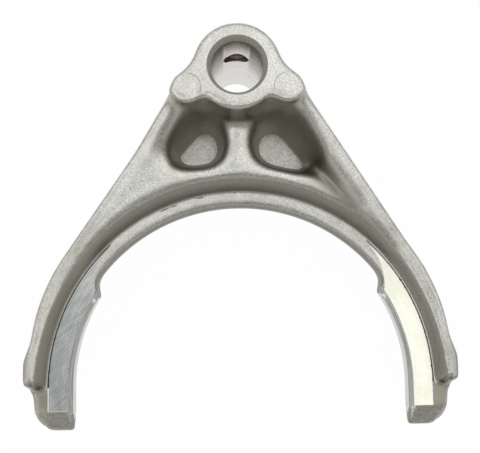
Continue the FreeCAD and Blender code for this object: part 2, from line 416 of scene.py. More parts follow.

# %% [markdown]
# The skin has two tones of grain for each kind of face. The walls carry painted shade: darkest in the
# deep channel, then in the pockets, then on the outer flanks. The arms, the tabs and the tips are painted
# darker and browner as painted shade, and painted shadow lies under the head and in the valley beside
# the right rail.

# %% Tones of the cast skin
OPEN_FACE = (0.58, 0.575, 0.555), (0.93, 0.925, 0.905)
# The three wall tones are painted shade: darkest in the channel, then in the pockets, then on the outer
# flanks.
CHANNEL_WALL_SHADE = (0.15, 0.142, 0.108), (0.25, 0.24, 0.195)
POCKET_WALL_SHADE = (0.34, 0.327, 0.272), (0.49, 0.477, 0.41)
OUTER_WALL_SHADE = (0.36, 0.352, 0.32), (0.62, 0.612, 0.575)
STAINED = (0.54, 0.51, 0.42)
# Painted shade, a little brown, laid on the tips, the arms and the tabs.
DIMMING_SHADE = (0.33, 0.315, 0.265)
# Painted shadow, dark olive, under the head and in the valley beside the right rail.
SHADOW_TONE = (0.22, 0.21, 0.165)
VALLEY_COS, VALLEY_SIN = 0.710, 0.704


def wall_shade(tree, grains, place):
    """Painted shade on a steep wall, by its distance from the sleeve's axis and by the way it looks.

    A wall looks outwards where the dot product of its normal and its place is large, with the place
    counted from a point in the middle of the yoke.
    """
    flat = vector_maths(tree, "MULTIPLY", place.outputs["Object"], (1.0, 1.0, 0.0))
    from_sleeve = vector_maths(tree, "DISTANCE", flat, (0.0, -REACH * MM, 0.0))
    from_yoke = vector_maths(tree, "ADD", flat, (0.0, 20 * MM, 0.0))
    outwards = vector_maths(tree, "DOT_PRODUCT", from_yoke, place.outputs["Normal"])
    channel, pocket, outer = [mix_colour(tree, grains, *tones)
                              for tones in (CHANNEL_WALL_SHADE, POCKET_WALL_SHADE, OUTER_WALL_SHADE)]
    past_channel = mix_colour(tree, ramp_mm(tree, outwards, 5, 10), pocket, outer)
    return mix_colour(tree, ramp_mm(tree, from_sleeve, 58.5, 61), channel, past_channel)


def painted_dimming(tree, level, aside, y):
    """How much painted shade darkens the skin: at the tips where they lie level, on arms and on tabs."""
    at_tips = times(tree, ramp_mm(tree, y, -82, -87), ramp(tree, level, 0.84, 0.97, 0.22, 0.95))
    on_arms = times(tree, ramp_mm(tree, aside, 32, 46), 0.26)
    on_tabs = times(tree, ramp_mm(tree, aside, 57.5, 61), 0.74)
    return larger(tree, at_tips, larger(tree, on_arms, on_tabs))


def head_shadow(tree, aside, y, height):
    """Painted shadow under the head: a band round the hub's wall, on the side towards the sleeve."""
    band = times(tree, ramp_mm(tree, height, 32.2, 34.5), ramp_mm(tree, height, 45.2, 43.5))
    side = times(tree, ramp_mm(tree, aside, 14, 11), ramp_mm(tree, y, -9, -10.5))
    return times(tree, times(tree, side, 0.88), band)


def valley_shadow(tree, x, y, height):
    """Painted shadow in the valley beside the right rail, by two turned coordinates of a point.

    One is its distance across the valley's line, the other its place along that line, where the
    valley narrows towards the arm.
    """
    offset = plus(tree, times(tree, x, VALLEY_COS), times(tree, y, VALLEY_SIN))
    along = times(tree, times(tree, x, VALLEY_SIN), times(tree, y, VALLEY_COS), "SUBTRACT")
    narrowing = times(tree, plus(tree, along, -30 * MM), 0.13)
    across = plus(tree, without_sign(tree, plus(tree, offset, 2.7 * MM)), narrowing)
    ends = times(tree, ramp_mm(tree, along, 28, 33), ramp_mm(tree, along, 54.5, 44))
    front = ramp_mm(tree, height, 23.5, 25)
    return times(tree, times(tree, ramp_mm(tree, across, 4.6, 1.8), 0.85), times(tree, ends, front))


print("tones and films of the skin")

# %% Cast skin material
def cast_skin():
    """Bright grain on open faces, and painted shade, darker and olive, on steep walls."""
    material, tree, shader, place = bare_metal("cast skin")
    grain = effect(tree, GRAIN, place)
    stain = effect(tree, STAIN, place)
    x, y, height = xyz(tree, place.outputs["Object"])
    aside = without_sign(tree, x)
    level = without_sign(tree, xyz(tree, place.outputs["Normal"])[2])
    grains = ramp(tree, grain.outputs["Grain"], 0.40, 0.60)
    bright = mix_colour(tree, grains, *OPEN_FACE)
    stained = mix_colour(tree, times(tree, stain.outputs["Stain"], 0.35), bright, STAINED)
    # Steep walls take the painted shade; open faces keep their own grain and stains.
    skin = mix_colour(tree, ramp(tree, level, 0.32, 0.985), wall_shade(tree, grains, place), stained)
    # Painted shade darkens the tips, the arms and the tabs.
    dimmed_skin = mix_colour(tree, painted_dimming(tree, level, aside, y), skin, DIMMING_SHADE)
    # The film here is painted shadow, under the head and in the valley beside the right rail.
    film = larger(tree, head_shadow(tree, aside, y, height), valley_shadow(tree, x, y, height))
    link(tree, mix_colour(tree, film, dimmed_skin, SHADOW_TONE), shader.inputs["Base Color"])
    link(tree, ramp(tree, grain.outputs["Grain"], 0.3, 0.7, 0.32, 0.50), shader.inputs["Roughness"])
    pebbles = bump(tree, shader, grain.outputs["Grain"], 0.55, 0.10)
    bump(tree, shader, grain.outputs["Speck"], 0.12, 0.06, pebbles)
    return material


CAST = cast_skin()
print("finish:", CAST.name)

# %% [markdown]
# ## The cut faces
#
# A tool leaves its path on the metal. The milling cutter crosses the pads in long, slightly curved
# strokes, the boring bar turns rings into the bore, and the seat is swept along its own curve. Noise
# that is stretched along the path gives each one: hardly any change along the stroke, fast change
# across it. These faces are smoother than the skin, so they catch the lamp as a broad sheen.

# %% The path of a tool
def strokes(tree, vector, stretch, detail=3.0):
    """Noise stretched by different amounts along the three axes, in strokes per mm."""
    mapping = node(tree, "ShaderNodeMapping", {"Scale": tuple(s / MM for s in stretch)})
    link(tree, vector, mapping.inputs["Vector"])
    noise = node(tree, "ShaderNodeTexNoise", {"Scale": 1.0, "Detail": detail, "Roughness": 0.65})
    link(tree, mapping.outputs["Vector"], noise.inputs["Vector"])
    return noise.outputs["Fac"]


def arcs(tree, vector, centre_mm, strokes_per_mm):
    """Strokes of a turning cutter: noise of the distance from its centre, faintly broken up."""
    from_centre = vector_maths(tree, "ADD", vector, tuple(-c * MM for c in centre_mm))
    distance = vector_maths(tree, "LENGTH", from_centre)
    slow = node(tree, "ShaderNodeMapping", {"Scale": (0.12 / MM, 0.12 / MM, 0.0)})
    link(tree, vector, slow.inputs["Vector"])
    noise = node(tree, "ShaderNodeTexNoise", {"Scale": 1.0, "Detail": 3.0, "Roughness": 0.65},
                 noise_dimensions="4D")
    link(tree, slow.outputs["Vector"], noise.inputs["Vector"])
    link(tree, times(tree, distance, strokes_per_mm / MM), noise.inputs["W"])
    return noise.outputs["Fac"]


def cut_finish(tree, shader, colour, pattern, roughness, strength, depth_mm):
    """Colour, roughness and bumps of a cut face; the last two follow the tool's pattern."""
    link(tree, colour, shader.inputs["Base Color"])
    link(tree, ramp(tree, pattern, 0.3, 0.7, *roughness), shader.inputs["Roughness"])
    bump(tree, shader, pattern, strength, depth_mm)


print("tool paths: straight strokes and arcs")

# %% Milled, turned and swept finishes
def milled_face():
    """Fine strokes that follow the arms, crossed by a few fainter ones from the return pass."""
    material, tree, shader, place = bare_metal("milled face")
    along = arcs(tree, place.outputs["Object"], (0.0, -REACH, 0.0), 3.2)
    across = arcs(tree, place.outputs["Object"], (25.0, -180.0, 0.0), 2.0)
    both = plus(tree, times(tree, along, 0.6), times(tree, across, 0.4))
    colour = mix_colour(tree, ramp(tree, both, 0.38, 0.62), (0.75, 0.76, 0.765), (0.93, 0.935, 0.935))
    smudge = times(tree, effect(tree, STAIN, place).outputs["Stain"], 0.3)
    smudged = mix_colour(tree, smudge, colour, (0.62, 0.61, 0.54))
    cut_finish(tree, shader, smudged, both, (0.18, 0.30), 0.12, 0.03)
    return material


def turned_face():
    """Rings across the bore's axis, bright, with a slow band of oil."""
    material, tree, shader, place = bare_metal("turned bore")
    rings = strokes(tree, place.outputs["Object"], (0.03, 0.03, 3.2), 4.0)
    bands = strokes(tree, place.outputs["Object"], (0.01, 0.01, 0.35), 1.0)
    colour = mix_colour(tree, ramp(tree, rings, 0.35, 0.65), (0.56, 0.55, 0.525), (0.80, 0.79, 0.76))
    oily = mix_colour(tree, ramp(tree, bands, 0.45, 0.7, 0.0, 0.35), colour, (0.66, 0.58, 0.48))
    cut_finish(tree, shader, oily, rings, (0.22, 0.34), 0.25, 0.04)
    return material


def swept_face():
    """The seat and its bevels: fine lines at one height all the way round; the bevels are painted paler
    than the steep wall, as painted light by the way each face looks.
    """
    material, tree, shader, place = bare_metal("swept seat")
    lines = strokes(tree, place.outputs["Object"], (0.05, 0.05, 5.0))
    # Painted light: the bevels, which look further up, are paler than the steep seat wall.
    bevel_lit = ramp(tree, without_sign(tree, xyz(tree, place.outputs["Normal"])[2]), 0.2, 0.5)
    deep = mix_colour(tree, bevel_lit, (0.50, 0.50, 0.49), (0.72, 0.72, 0.705))
    pale = mix_colour(tree, bevel_lit, (0.62, 0.62, 0.61), (0.92, 0.92, 0.905))
    colour = mix_colour(tree, ramp(tree, lines, 0.35, 0.65), deep, pale)
    cut_finish(tree, shader, colour, lines, (0.24, 0.36), 0.15, 0.03)
    return material


MILLED = milled_face()
TURNED = turned_face()
SWEPT = swept_face()
print("finishes", MILLED.name, TURNED.name, SWEPT.name, sep=", ")

# %% [markdown]
# The other cuts show no path but a grain: a coarse bright stipple on the pocket floors, brown locking
# compound in the thread, a dull oxide on the lead-in, and a near-black line at the pads' shoulder, which is
# painted shadow in the narrow step there. They differ only in tones and depth, so one function makes all
# four.

# %% Grained cuts
def grained_face(name, dark, pale, roughness, metallic=1.0, strength=0.2, depth_mm=0.05, scale=1.0):
    """A face of two tones of grain; less metallic where oxide covers it, finer at a larger scale."""
    material, tree, shader, place = bare_metal(name, roughness, metallic)
    grain = effect(tree, GRAIN, place)
    grain.inputs["Scale"].default_value = scale
    colour = mix_colour(tree, ramp(tree, grain.outputs["Grain"], 0.40, 0.60), dark, pale)
    link(tree, colour, shader.inputs["Base Color"])
    bump(tree, shader, grain.outputs["Grain"], strength, depth_mm)
    return material


STIPPLE = grained_face("pocket floor", (0.66, 0.65, 0.63), (1.0, 1.0, 0.98), 0.5,
                       strength=0.9, depth_mm=0.14, scale=0.85)
TAPPED = grained_face("tapped thread", (0.20, 0.13, 0.10), (0.42, 0.36, 0.31), 0.4,
                      strength=0.3, depth_mm=0.08)
LEAD = grained_face("lead-in", (0.50, 0.49, 0.43), (0.64, 0.63, 0.56), 0.5, metallic=0.45)
# Near-black: at the pads' shoulder this is painted shadow in the step; the marks of use take the same
# near-black.
SHOULDER = grained_face("cut shoulder", (0.05, 0.05, 0.045), (0.14, 0.135, 0.12), 0.6)
print("finishes", STIPPLE.name, TAPPED.name, LEAD.name, SHOULDER.name, sep=", ")

# %% [markdown]
# ## Melt the drawing into a casting
#
# A die casting has no sharp edge: metal won't fill one, and the die would crack there. The drawn
# solid is copied and welded, then filled where the tools will cut, so that the melt can't round an
# edge that a tool makes later. A voxel remesh turns everything into one even skin of small squares.
# Then each point is pulled to the average of its neighbours, again and again. That is heat flow: sharp
# detail fades first, and the number of rounds sets the radius of every edge and every corner.

# %% Fill what will be machined
LEDGE_HEIGHTS = [MIDDLE - LEDGE_HALF, MIDDLE + LEDGE_HALF]
VALLEY = [(24.2, -27.9, 1.2), (34.6, -38.4, 0.8)]
VALLEY_HEIGHTS = [20.0, 28.0]


def filler_for_seat():
    """Metal left on the seat before it is swept: a strip inside the drawn seat, carried round it."""
    inner, outer = SEAT_RADIUS - 1.2, SEAT_RADIUS + 3.5
    rear, front = LEDGE_HEIGHTS
    section = [(inner, rear), (outer, rear), (outer, front), (inner, front)]
    start = math.asin(RELIEF_X / SEAT_RADIUS) + 0.03
    return [carried("seat stock", section, sleeve_path(start, PAD_END + 0.2, side), CAST)
            for side in (1, -1)]


def filler_for_pads():
    """Metal left on the pads: the ledge at its full thickness, from the casting's lip to the pad's edge.

    Seen from the front it runs round the pad's outer edge, back up beside the seat, and along an arc
    that lies just inside the lip, where the drawn pad starts.
    """
    outer = PAD_RADIUS + 0.6
    inner = SEAT_RADIUS + 1.8
    turn = np.linspace(math.asin((PAD_START - 1.0) / outer), np.pi / 2, 60)
    back = np.linspace(np.pi / 2, math.radians(61), 40)
    lip_turn = np.linspace(-math.radians(18), math.radians(48), 30)
    lip = STOCK_LIP + STOCK_LIP_RADIUS * np.stack([np.cos(lip_turn), np.sin(lip_turn)], -1)
    outline = np.concatenate([outer * np.stack([np.sin(turn), np.cos(turn)], -1) - [0, REACH],
                              [[outer, PAD_END - 0.3], [inner, PAD_END - 0.3]],
                              inner * np.stack([np.sin(back), np.cos(back)], -1) - [0, REACH], lip])
    return [stacked("pad stock", [outline * [side, 1]] * 2, LEDGE_HEIGHTS, CAST) for side in (1, -1)]


def filler_for_valley():
    """Metal at the foot of the right rail, where the drawn groove melts into a shallow valley."""
    return [stacked("valley stock", [furthest_outline(VALLEY, 0.5)] * 2, VALLEY_HEIGHTS, CAST)]


def filler_for_holes():
    """Metal in the bore and in the tapped hole."""
    bore = rod("bore stock", LEAD_RADIUS + 0.6, 0.0, HUB_TOP, CAST)
    bolt = rod("bolt stock", BOLT_CORE_RADIUS + 0.8, 5.0, 11.4, CAST)
    bolt.transform(Matrix.Translation((0, 0, BOLT_HEIGHT * MM)) @ Matrix.Rotation(-math.pi / 2, 4, "X"))
    return [bore, bolt]


print("stock: seat, pads, valley and holes")

# %% One raw mesh
def welded_copy():
    """The drawn mesh with its loose triangles merged, without the drawn material."""
    mesh = drawn.data.copy()
    work = bmesh.new()
    work.from_mesh(mesh)
    bmesh.ops.remove_doubles(work, verts=work.verts, dist=1e-6)
    work.to_mesh(mesh)
    work.free()
    mesh.materials.clear()
    mesh.materials.append(CAST)
    return mesh


def joined(meshes):
    """One mesh from several, kept as separate shells."""
    work = bmesh.new()
    for mesh in meshes:
        work.from_mesh(mesh)
    result = bpy.data.meshes.new("raw metal")
    work.to_mesh(result)
    work.free()
    return result


raw = joined([welded_copy()] + filler_for_seat() + filler_for_pads()
             + filler_for_valley() + filler_for_holes())
print("drawn solid and stock:", len(raw.vertices), "points")

# %% Remesh into one skin
VOXEL = 0.57    # keeps the piece under 200,000 triangles


def applied(thing):
    """The mesh that an object's modifiers make."""
    evaluated = thing.evaluated_get(bpy.context.evaluated_depsgraph_get())
    return bpy.data.meshes.new_from_object(evaluated)


def remeshed(mesh):
    """One closed skin of squares with a side of one voxel, round everything in the mesh."""
    thing = as_object("melt", mesh)
    skin = thing.modifiers.new("skin", "REMESH")
    skin.mode = "VOXEL"
    skin.voxel_size = VOXEL * MM
    result = applied(thing)
    bpy.data.objects.remove(thing)
    result.materials.clear()
    result.materials.append(CAST)
    return result


skin = remeshed(raw)
print("skin:", len(skin.vertices), "points,", len(skin.polygons), "squares")

# %% Let the edges flow
def read_points(mesh):
    """All vertex positions as an array of rows, in millimetres."""
    flat = np.empty(len(mesh.vertices) * 3)
    mesh.vertices.foreach_get("co", flat)
    return flat.reshape(-1, 3) / MM


def write_points(mesh, points):
    """Positions in millimetres back into the mesh."""
    mesh.vertices.foreach_set("co", (points * MM).ravel())
    mesh.update()


def flowed(mesh, points, rounds):
    """Heat flow: in each round a point moves half way to the mean of its neighbours.

    The mean is the sum of the neighbours over their number. Both come from the edge list, by adding
    each end of an edge to the total of the other end.
    """
    ends = np.empty(len(mesh.edges) * 2, int)
    mesh.edges.foreach_get("vertices", ends)
    one, other = ends.reshape(-1, 2).T
    count = len(points)
    neighbours = np.bincount(one, minlength=count) + np.bincount(other, minlength=count)
    for _ in range(rounds):
        total = np.stack([np.bincount(one, points[other, axis], count)
                          + np.bincount(other, points[one, axis], count) for axis in range(3)], -1)
        points = points + 0.5 * (total / neighbours[:, None] - points)
    return points


def smooth_step(value, start, end):
    """0 before start, 1 after end, and a smooth S between."""
    t = np.clip((value - start) / (end - start), 0, 1)
    return t * t * (3 - 2 * t)


def inset(points):
    """How far each point lies inside the outline, seen from the front.

    On each side the outline at one level of y is the widest point there, found in strips of 1 mm and
    read between them by straight lines. The walls run at a slant, so the distance across them is the
    difference in x times its cosine.
    """
    x, y, _ = points.T
    strip = np.floor(y - y.min()).astype(int)
    middle = y.min() + 0.5 + np.arange(strip.max() + 1)
    side = (x > 0).astype(int)
    widest = np.zeros((2, len(middle)))
    np.maximum.at(widest, (side, strip), np.abs(x))
    slant = np.hypot(1, np.gradient(widest, axis=1))
    edge = np.where(side, np.interp(y, middle, widest[1]), np.interp(y, middle, widest[0]))
    across = np.where(side, np.interp(y, middle, slant[1]), np.interp(y, middle, slant[0]))
    return (edge - np.abs(x)) / across


sharp = read_points(skin)
light = flowed(skin, sharp, 5)
soft = flowed(skin, light, 11)
broad = flowed(skin, soft, 15)
broadest = flowed(skin, broad, 73)
print("four melts of", len(sharp), "points")

# %% [markdown]
# Not every edge of the casting is equally round. A zone says where the metal melts further, by a few
# measures of each point in millimetres. Each measure rises from 0 to 1 between its two limits, or falls
# where the first limit is the larger one, and the zone is the product of them all.

# %% Melt each zone by its own share
x, y, z = sharp.T
MEASURES = {"height": z, "below_top": HUB_TOP - z, "towards_sleeve": -y, "aside": np.abs(x),
            "from_sleeve": np.hypot(x, y + REACH), "inside": inset(sharp)}
ON_LEDGE = (MIDDLE + LEDGE_HALF - 1, MIDDLE + LEDGE_HALF + 2)
UNDER_HEAD = (1.5, 6.0)


def zone(**limits):
    """Share from 0 to 1 for each point: the product of one smooth step for each measure."""
    return np.prod([smooth_step(MEASURES[name], *limit) for name, limit in limits.items()], axis=0)


head_edge = zone(height=(HUB_TOP - 6.0, HUB_TOP - 3.5), towards_sleeve=(4.5, 8))
upper_edges = 0.8 * zone(height=(19, 21))
in_arms = zone(height=ON_LEDGE, below_top=UNDER_HEAD, from_sleeve=(53.5, 55.5), inside=(0.0, 1.4))
crown_lip = zone(towards_sleeve=(60, 54), from_sleeve=(56.2, 54.8))
tip_shoulder = zone(towards_sleeve=(87, 89), aside=(56.1, 57.2))
rail_edge = zone(height=(19.5, 23.5), below_top=UNDER_HEAD, from_sleeve=(56.6, 58.2),
                 inside=(0.8, 2.8))
in_yoke = zone(height=ON_LEDGE, below_top=UNDER_HEAD, towards_sleeve=(48, 36),
               from_sleeve=(58.5, 61), inside=(2.2, 5.0))


def melted(points, melt, share):
    """Points drawn towards a further melted state by a share from 0 to 1."""
    return points + (melt - points) * share[:, None]


cast_points = melted(light, soft, np.maximum(head_edge, upper_edges))
cast_points = melted(cast_points, broad, np.maximum.reduce([in_arms, crown_lip, tip_shoulder]))
cast_points = melted(cast_points, broadest, np.maximum(in_yoke, rail_edge))
write_points(skin, cast_points)
print("largest pull:", round(float(np.abs(cast_points - sharp).max()), 2), "mm")

# %% [markdown]
# ## Cut with sharp tools
#
# Now the machining. Each tool is a closed solid with the finish that it leaves, and a boolean
# difference takes it away. The Manifold solver is exact for closed meshes and gives the new faces the
# tool's own material, so a cut is crisp in its shape and in its finish, as a real one is.

# %% Bore and seat
def bore_tools():
    """The reamer for the straight bore, and the cone that leads the rail in at the front."""
    start, end = HUB_TOP - LEAD_DEPTH - 0.3, HUB_TOP + 1
    cone = [(0, start), (BORE_RADIUS - 0.16, start), (LEAD_RADIUS, HUB_TOP), (LEAD_RADIUS, end), (0, end)]
    return [rod("reamer", BORE_RADIUS, -1, end, TURNED), turned("lead cone", cone, LEAD)]


def seat_tool():
    """The seat's sweep: the clearance wall and both bevels, carried round the sleeve."""
    half = PAD_HALF - SEAT_BEVEL
    bevel = 3.0
    upper = [(SEAT_RADIUS, half), (SEAT_RADIUS + bevel, half + bevel), (SEAT_RADIUS - 6, half + bevel)]
    section = ([(distance, MIDDLE - height) for distance, height in upper[::-1]]
               + [(distance, MIDDLE + height) for distance, height in upper])
    return carried("seat sweep", section, sleeve_path(0.0, TIP - 4, 0), SWEPT)


print("tools for the bore and the seat")

# %% [markdown]
# The pads bear on the sleeve's groove, so each arm has one on either face. A flat box could cut one,
# but the mill stops where the casting's lip curves in, and it leaves a fine ragged line at its shoulder,
# whose near-black colour is painted shadow.
# Both come from arcs about the sleeve's axis.

# %% Pads
def pad_tool(side, face):
    """One pad's mill: everything past the pad's face, from its pointed start to its square end.

    The outer edge is an arc about the sleeve. The inner edge starts at the same point and follows the
    round lip of the casting down to the seat.
    """
    z_face = MIDDLE + face * PAD_HALF
    z_clear = z_face + face * 2.2
    turn = np.linspace(math.asin((PAD_START - 0.3) / PAD_RADIUS), np.pi / 2, 80)
    arc = np.stack([PAD_RADIUS * np.sin(turn), PAD_RADIUS * np.cos(turn) - REACH], -1)
    inner_x = SEAT_RADIUS - 14
    corners = np.array([[PAD_RADIUS, PAD_END], [inner_x, PAD_END], [inner_x, -70.0]])
    lip_turn = np.linspace(-math.radians(18), math.radians(38), 40)
    lip = PAD_LIP + PAD_LIP_RADIUS * np.stack([np.cos(lip_turn), np.sin(lip_turn)], -1)
    outline = np.concatenate([arc, corners, lip]) * [side, 1]
    return stacked("pad mill", [outline, outline], [z_face, z_clear], MILLED)


def shoulder_tool(side, face):
    """The sharp line at the pad's outer edge: a narrow groove at the foot of the shoulder, near-black as
    painted shadow.

    Its width is a steady part plus a ragged one, a smoothed random row, where the mill tore the skin.
    """
    rng = np.random.default_rng(7)
    turn = np.linspace(math.asin(PAD_START / PAD_RADIUS), np.pi / 2, 150)
    normal = np.stack([np.sin(turn), np.cos(turn)], -1)
    torn = np.clip(np.convolve(rng.normal(size=len(turn)), np.ones(3) / 1.7, "same"), 0, 2)
    width = 0.03 + 0.2 * torn if side > 0 else 0.16 + 0.05 * torn
    distance = np.stack([PAD_RADIUS - width, np.full(len(width), PAD_RADIUS + 0.06)] * 2, -1)
    distance = distance[:, [0, 1, 3, 2]]
    z_face = MIDDLE + face * PAD_HALF
    height = np.array([-0.22, -0.22, 0.9, 0.9]) * face + z_face
    xy = normal[:, None] * distance[..., None] - [0, REACH]
    points = np.concatenate([xy * [side, 1], np.broadcast_to(height, distance.shape)[..., None]], -1)
    return mesh_from_grid("shoulder line", points, SHOULDER)


print("tools for the pads and their shoulders")

# %% [markdown]
# The die itself also leaves crisp marks, which the melt has softened: the stippled floor of each
# pocket, and the ring of each ejector pin. They are cut back in by a lid with the pocket's outline and
# by a thin ring, because a bump alone would vanish from the mesh.

# %% Pocket floors and ejector rings
FLOOR_FOOT = 0.45
FLOOR_RISE = 3.2
FLOOR_DRAFT = math.radians(16)
RING_HALF_WIDTH = 0.16


def floor_tool(circles, face):
    """A pocket's floor with its sharp foot, and the low part of its wall, which leans out by the draft.

    The floor is stippled, and the wall keeps the cast skin.
    """
    z_floor = MIDDLE + face * LEDGE_HALF
    lean = FLOOR_RISE * math.tan(FLOOR_DRAFT)
    outlines = [furthest_outline(circles, FLOOR_FOOT + growth) for growth in (0, lean)]
    mesh = stacked("floor", outlines, [z_floor, z_floor + face * FLOOR_RISE], STIPPLE)
    mesh.materials.append(CAST)
    for polygon in mesh.polygons:
        polygon.material_index = 0 if abs(polygon.normal.z) > 0.9 else 1
    return mesh


def mark_tool(side):
    """The fine ring that an ejector pin leaves: a shallow groove round its own circle."""
    section = np.array([(-RING_HALF_WIDTH, 0.3), (0.0, -RING_HALF_WIDTH), (RING_HALF_WIDTH, 0.3)])
    angle = np.linspace(0, 2 * np.pi, 120, endpoint=False)[:, None]
    radius = EAR_MARK_RADIUS + section[:, 0]
    points = np.stack([side * EAR[0] + radius * np.cos(angle), EAR[1] + radius * np.sin(angle),
                       np.broadcast_to(HUB_TOP - 0.05 + section[:, 1], (120, 3))], -1)
    return mesh_from_grid("ejector ring", points, CAST, closed_rows=True)


print("tools for the pocket floors and the ejector rings")

# %% [markdown]
# The lock bolt's hole is tapped. A screw modifier could wind a thread, but a radius that depends on
# both the angle and the length gives the whole tap as one closed grid.

# %% The thread
def thread_tool():
    """The tap: a core whose radius rises and falls along a helix.

    radius = core + depth * ridge(length / pitch - angle / one turn), where ridge is a triangle wave.
    """
    angle = np.linspace(0, 2 * np.pi, 96, endpoint=False)
    length = np.linspace(4.5, 13.5, 110)[:, None]
    phase = (length / THREAD_PITCH - angle / (2 * np.pi)) % 1.0
    radius = BOLT_CORE_RADIUS + THREAD_DEPTH * (1 - np.abs(2 * phase - 1))
    points = np.stack([radius * np.cos(angle), np.broadcast_to(length, radius.shape),
                       BOLT_HEIGHT + radius * np.sin(angle)], -1)
    return mesh_from_grid("tap", points, TAPPED)


print("tool for the thread")

# %% [markdown]
# A used fork has nicks, specks and small burrs. Each is a lens that bites into the surface, placed
# where the real one has it.

# %% Marks of use
def lens(centre, size, turn_degrees):
    """A small lens for a nick or a dent, with half axes a, b and c, turned round Z.

    x = a sin v cos u, y = b sin v sin u, z = c cos v.
    """
    v = np.linspace(0, np.pi, 20)[:, None]
    u = np.linspace(0, 2 * np.pi, 40, endpoint=False)
    a, b, c = size
    x, y = a * np.sin(v) * np.cos(u), b * np.sin(v) * np.sin(u)
    z = np.broadcast_to(c * np.cos(v), x.shape)
    cos, sin = math.cos(math.radians(turn_degrees)), math.sin(math.radians(turn_degrees))
    points = np.stack([x * cos - y * sin, x * sin + y * cos, z], -1)
    return mesh_from_grid("nick", np.array(centre) + points, SHOULDER)


# Each mark has its centre, its half axes and its turn in degrees.
MARKS_OF_USE = [((-6.4, 9.6, 46.2), (0.9, 0.5, 0.5), 0), ((-0.9, -30.4, 17.5), (0.4, 0.18, 0.25), 0),
                ((0.9, -30.4, 17.5), (0.35, 0.16, 0.22), 0), ((35.1, -33.6, 33.9), (0.35, 0.35, 0.5), 0),
                ((0.6, -15.8, 31.6), (0.22, 0.22, 0.3), 0), ((2.7, -24.5, 31.6), (0.25, 0.15, 0.25), 30),
                ((-21.6, -35.1, 17.6), (1.5, 0.12, 0.5), 24), ((-19.0, -34.1, 17.6), (1.2, 0.11, 0.4), 19),
                ((-11.2, -31.8, 17.6), (1.3, 0.11, 0.4), 10), ((-16.4, -35.3, 17.4), (0.35, 0.2, 0.4), 20),
                ((-12.5, -33.9, 17.4), (0.3, 0.18, 0.4), 15)]
print(len(MARKS_OF_USE), "marks of use")

# %% The box of tools
SIDES_AND_FACES = [(side, face) for side in (1, -1) for face in (1, -1)]
tools = bore_tools() + [seat_tool(), thread_tool()]
tools += [pad_tool(side, face) for side, face in SIDES_AND_FACES]
tools += [shoulder_tool(side, face) for side, face in SIDES_AND_FACES]
tools += [floor_tool(circles, face) for circles in (LEFT_FLOOR, RIGHT_FLOOR) for face in (1, -1)]
tools += [mark_tool(side) for side in (1, -1)]
tools += [lens(*mark) for mark in MARKS_OF_USE]
print(len(tools), "tools, from", tools[0].name, "to", tools[-1].name)

# %% Cut them one after another
def cut(mesh, tool):
    """The mesh without the tool's volume; the new faces keep the tool's material."""
    body = as_object("body", mesh)
    cutter = as_object("cutter", tool)
    step = body.modifiers.new("cut", "BOOLEAN")
    step.operation = "DIFFERENCE"
    step.solver = "MANIFOLD"
    step.object = cutter
    step.material_mode = "TRANSFER"
    result = applied(body)
    bpy.data.objects.remove(body)
    bpy.data.objects.remove(cutter)
    return result


part = skin
for tool in tools:
    before = len(part.polygons)
    part = cut(part, tool)
    print(tool.name, "changed", len(part.polygons) - before, "faces")

# %% Finish the part
SHARPEST_ROUND = math.radians(32)


def shaded(mesh):
    """Smooth shading, with an edge left sharp where its two faces turn by more than an angle."""
    work = bmesh.new()
    work.from_mesh(mesh)
    bmesh.ops.remove_doubles(work, verts=work.verts, dist=2e-7)
    bmesh.ops.triangulate(work, faces=[f for f in work.faces if len(f.verts) > 4])
    for edge in work.edges:
        edge.smooth = len(edge.link_faces) == 2 and edge.calc_face_angle(0.0) < SHARPEST_ROUND
    for face in work.faces:
        face.smooth = True
    work.to_mesh(mesh)
    work.free()
    return mesh


fork_casting = as_object("fork_casting", shaded(part))
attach(fork_casting, "root")
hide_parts("fork")
triangles = sum(len(face.vertices) - 2 for face in fork_casting.data.polygons)
print("casting:", triangles, "triangles; finishes", [m and m.name for m in fork_casting.data.materials])

# %% [markdown]
# ## Floor, light and sky
#
# The fork lies on its rear face on a white table. Metal shows what is round it, so the light is a
# room: bright all round and overhead, dim near the horizon and where the photographer stands. A warm
# lamp to the right of the camera is what the right pad mirrors, and a cool shade to its left is what
# the left pad mirrors. The dim horizon draws the dark outline along every rounded edge. The camera
# sees plain white behind the part.

# %% Floor
def table():
    """A wide disc under the part, bright for the camera and for mirrors, with the part's shadow."""
    angle = np.linspace(0, 2 * np.pi, 96, endpoint=False)
    rings = np.array([0.0, 0.3, 0.9, 2.5])[:, None]
    shape = (len(rings), len(angle))
    points = np.stack([rings * np.cos(angle), rings * np.sin(angle) - 0.05,
                       np.full(shape, -0.00002)], -1)
    index = np.arange(points[..., 0].size).reshape(shape)
    mesh = bpy.data.meshes.new("table")
    quads = np.stack([index[:-1], np.roll(index[:-1], -1, 1), np.roll(index[1:], -1, 1), index[1:]], -1)
    mesh.from_pydata(points.reshape(-1, 3).tolist(), [], quads.reshape(-1, 4).tolist())
    tidy_solid(mesh)
    if mesh.polygons[0].normal.z < 0:
        mesh.flip_normals()
    return as_object("table", mesh)


def seen_as(tree, kind, unseen, seen, share):
    """A material's or a world's end: one shader mixed with another by a share."""
    both = tree.nodes.new("ShaderNodeMixShader")
    link(tree, share, both.inputs["Fac"])
    link(tree, unseen.outputs[0], both.inputs[1])
    link(tree, seen.outputs[0], both.inputs[2])
    link(tree, both.outputs[0], tree.nodes.new(kind).inputs["Surface"])


